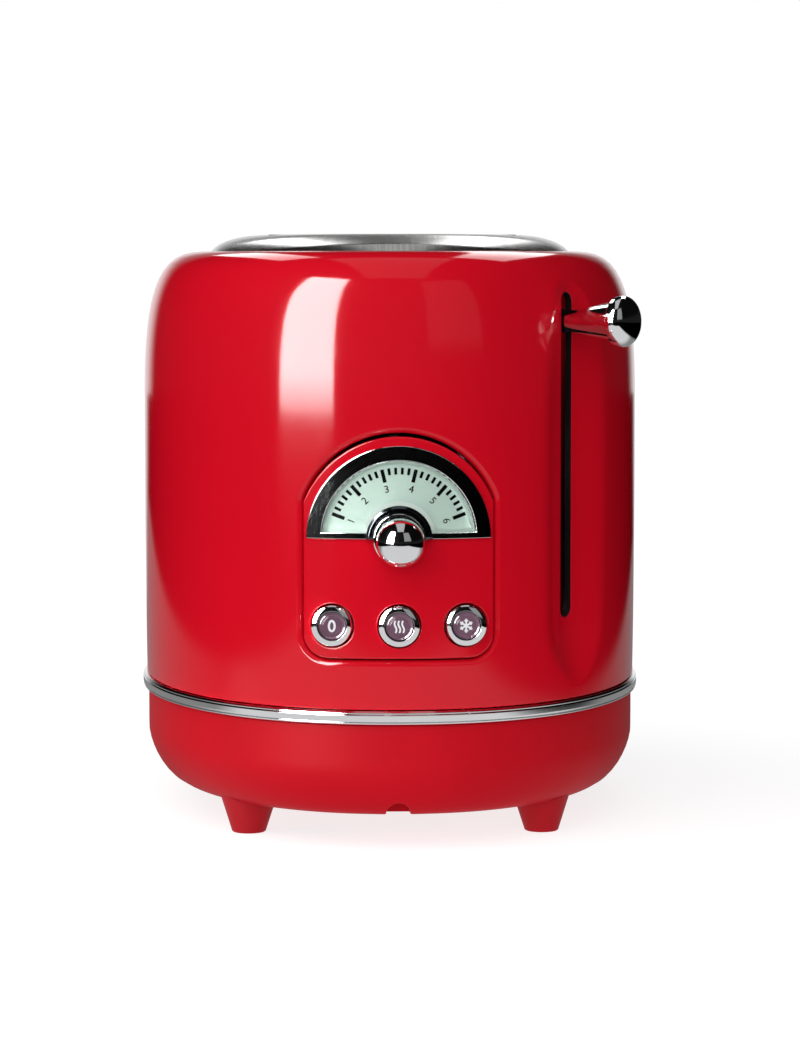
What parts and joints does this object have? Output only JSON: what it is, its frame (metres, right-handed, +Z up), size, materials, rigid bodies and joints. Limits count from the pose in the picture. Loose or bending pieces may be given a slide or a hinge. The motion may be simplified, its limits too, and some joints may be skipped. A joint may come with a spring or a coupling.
{
  "type": "electric toaster",
  "caption": "Oval two-slot toaster with painted casing, chrome band, arched control panel, half-round dial, ball knob, push buttons and a corner lever that lowers the bread carriage.",
  "frame": {"origin": "middle of the bounding box, on the surface the feet stand on", "axes": "+Z up, -Y out of the control end, +X to the side that carries the lever"},
  "size_m": [0.18, 0.295, 0.205],
  "materials": {
    "gloss_red_paint": "high gloss enamel",
    "satin_red_plastic": "satin moulded",
    "chrome": "mirror",
    "dark_chrome": "mirror, dark",
    "brushed_collar": "brushed",
    "dial_white": "printed scale",
    "clear_lens": "clear",
    "smoked_lens": "translucent, smoked",
    "zinc_steel": "zinc plated",
    "guide_wire": "drawn wire",
    "mica": "pressed mica sheet with resistance ribbon",
    "board_green": "coated laminate",
    "black_plastic": "moulded",
    "copper_winding": "enamelled winding"
  },
  "bodies": {
    "housing": {"casing": "gloss_red_paint", "base": "satin_red_plastic", "chrome_band": "chrome", "slot_collar": "brushed_collar", "cord_inlet_bush": "black_plastic", "foot_front_left": "satin_red_plastic", "foot_front_right": "satin_red_plastic", "foot_rear_left": "satin_red_plastic", "foot_rear_right": "satin_red_plastic", "foot_screw_front_left": "zinc_steel", "foot_screw_front_right": "zinc_steel", "foot_screw_rear_left": "zinc_steel", "foot_screw_rear_right": "zinc_steel", "control_panel": "gloss_red_paint", "dial_bezel": "chrome", "dial_plate": "dial_white", "dial_lens": "clear_lens", "knob_hub": "dark_chrome", "potentiometer": "black_plastic", "circuit_board": "board_green", "switch_cancel": "black_plastic", "switch_reheat": "black_plastic", "switch_defrost": "black_plastic", "chassis_floor": "zinc_steel", "front_chassis_plate": "zinc_steel", "rear_chassis_plate": "zinc_steel", "heater_left_outer": "mica", "heater_left_inner": "mica", "heater_right_inner": "mica", "heater_right_outer": "mica", "guide_rod": "zinc_steel", "electromagnet": "copper_winding", "return_spring": "guide_wire"},
    "carriage": {"carriage": "zinc_steel", "keeper": "zinc_steel", "bread_rack_left": "guide_wire", "bread_rack_right": "guide_wire", "lever_stem": "chrome", "lever_knob": "chrome"},
    "browning_knob": {"browning_knob": "chrome"},
    "cancel_button": {"button_cancel": "chrome", "button_lens_cancel": "smoked_lens"},
    "reheat_button": {"button_reheat": "chrome", "button_lens_reheat": "smoked_lens"},
    "defrost_button": {"button_defrost": "chrome", "button_lens_defrost": "smoked_lens"},
    "crumb_tray": {"crumb_tray": "satin_red_plastic"},
    "guide_left_outer": {"bread_guide_left_outer": "guide_wire"},
    "guide_left_inner": {"bread_guide_left_inner": "guide_wire"},
    "guide_right_inner": {"bread_guide_right_inner": "guide_wire"},
    "guide_right_outer": {"bread_guide_right_outer": "guide_wire"}
  },
  "joints": [
    {"name": "carriage_slide", "type": "slide", "parent": "housing", "child": "carriage", "axis": [0, 0, 1], "range_m": [-0.09, 0.0048], "stiffness_N_per_m": 120, "springref_m": 0.0097, "deforming": ["return_spring"]},
    {"name": "browning_knob_turn", "type": "hinge", "parent": "housing", "child": "browning_knob", "pos_m": [0, -0.12345, 0.1046], "axis": [0, 1, 0], "range_deg": [-70, 70]},
    {"name": "cancel_press", "type": "slide", "parent": "housing", "child": "cancel_button", "axis": [0, 1, 0], "range_m": [0, 0.0015], "stiffness_N_per_m": 800},
    {"name": "reheat_press", "type": "slide", "parent": "housing", "child": "reheat_button", "axis": [0, 1, 0], "range_m": [0, 0.0015], "stiffness_N_per_m": 800},
    {"name": "defrost_press", "type": "slide", "parent": "housing", "child": "defrost_button", "axis": [0, 1, 0], "range_m": [0, 0.0015], "stiffness_N_per_m": 800},
    {"name": "crumb_tray_slide", "type": "slide", "parent": "housing", "child": "crumb_tray", "axis": [0, 1, 0], "range_m": [0, 0.14]},
    {"name": "guide_left_outer_tilt", "type": "hinge", "parent": "housing", "child": "guide_left_outer", "pos_m": [-0.0405, 0.01955, 0.0407], "axis": [0, 1, 0], "range_deg": [-0.2, 3.25]},
    {"name": "guide_left_inner_tilt", "type": "hinge", "parent": "housing", "child": "guide_left_inner", "pos_m": [-0.0105, 0.01955, 0.0407], "axis": [0, 1, 0], "range_deg": [-3.25, 0.2]},
    {"name": "guide_right_inner_tilt", "type": "hinge", "parent": "housing", "child": "guide_right_inner", "pos_m": [0.0105, 0.01955, 0.0407], "axis": [0, 1, 0], "range_deg": [-0.2, 3.25]},
    {"name": "guide_right_outer_tilt", "type": "hinge", "parent": "housing", "child": "guide_right_outer", "pos_m": [0.0405, 0.01955, 0.0407], "axis": [0, 1, 0], "range_deg": [-3.25, 0.2]}
  ],
  "couplings": [
    {"joint": "guide_left_outer_tilt", "follows": "carriage_slide", "rad_per_m": -0.62},
    {"joint": "guide_left_inner_tilt", "follows": "carriage_slide", "rad_per_m": 0.62},
    {"joint": "guide_right_inner_tilt", "follows": "carriage_slide", "rad_per_m": -0.62},
    {"joint": "guide_right_outer_tilt", "follows": "carriage_slide", "rad_per_m": 0.62}
  ]
}
